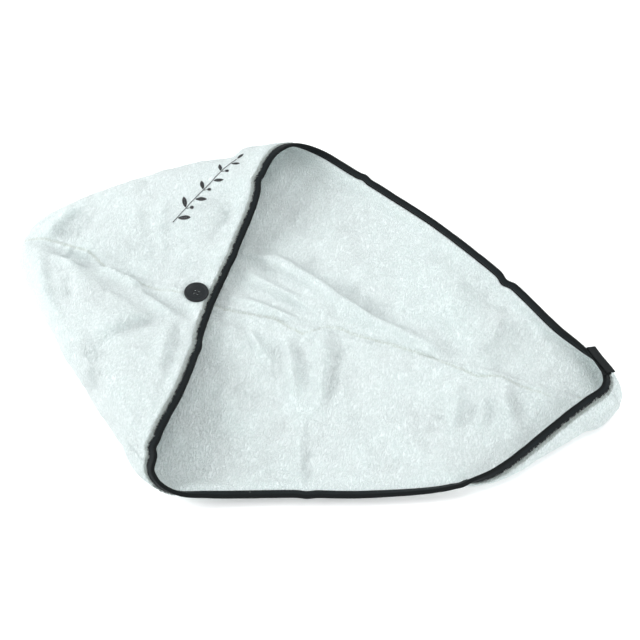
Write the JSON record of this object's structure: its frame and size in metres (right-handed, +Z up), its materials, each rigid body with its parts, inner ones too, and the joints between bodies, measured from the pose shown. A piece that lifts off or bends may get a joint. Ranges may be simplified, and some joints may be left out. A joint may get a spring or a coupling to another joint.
{
  "type": "hair turban towel",
  "caption": "Fleece hair turban lying flat: a pointed hood whose bound opening runs out into a long tail, with a button on the flap and an elastic loop at the tail tip.",
  "frame": {"origin": "middle of the towel's outline in plan, on the surface that carries it", "axes": "+X from the crown to the tail tip, +Y to the far half, +Z up"},
  "size_m": [0.6654, 0.4742, 0.0507],
  "materials": {
    "fleece": "matte short pile",
    "binding_tape": "matte woven tape",
    "button_plastic": "matte",
    "elastic": "matte ribbed elastic"
  },
  "bodies": {
    "root": {"panel_far": "fleece", "panel_near": "fleece", "edge_binding": "binding_tape", "elastic_loop": "elastic", "button": "button_plastic"}
  },
  "joints": []
}
